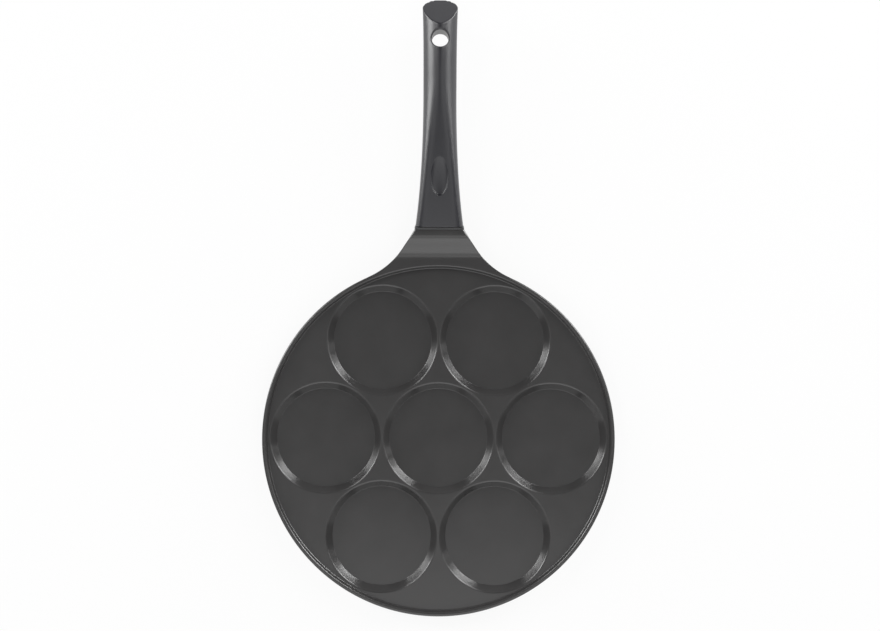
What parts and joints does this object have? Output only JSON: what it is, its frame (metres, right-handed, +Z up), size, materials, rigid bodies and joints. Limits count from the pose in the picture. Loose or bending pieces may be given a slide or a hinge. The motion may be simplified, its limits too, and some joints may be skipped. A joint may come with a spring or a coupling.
{
  "type": "pancake pan",
  "caption": "Round low-rimmed cast pan with shallow round cups for small pancakes, a flared neck and a long arched handle with a thumb dimple and a hanging hole.",
  "frame": {"origin": "middle of the flat base, on the surface that the pan stands on", "axes": "+Z up out of the cups, +Y from the pan's middle along the handle, +X to the right of the handle seen from above"},
  "size_m": [0.26, 0.4523, 0.0448],
  "materials": {
    "coated_casting": "satin",
    "shield_steel": "satin",
    "handle_moulding": "satin",
    "fastener_steel": "satin"
  },
  "bodies": {
    "root": {"pan_casting": "coated_casting", "heat_shield_plate": "shield_steel", "handle": "handle_moulding", "handle_screw": "fastener_steel", "spring_washer": "fastener_steel", "flat_washer": "fastener_steel"}
  },
  "joints": []
}
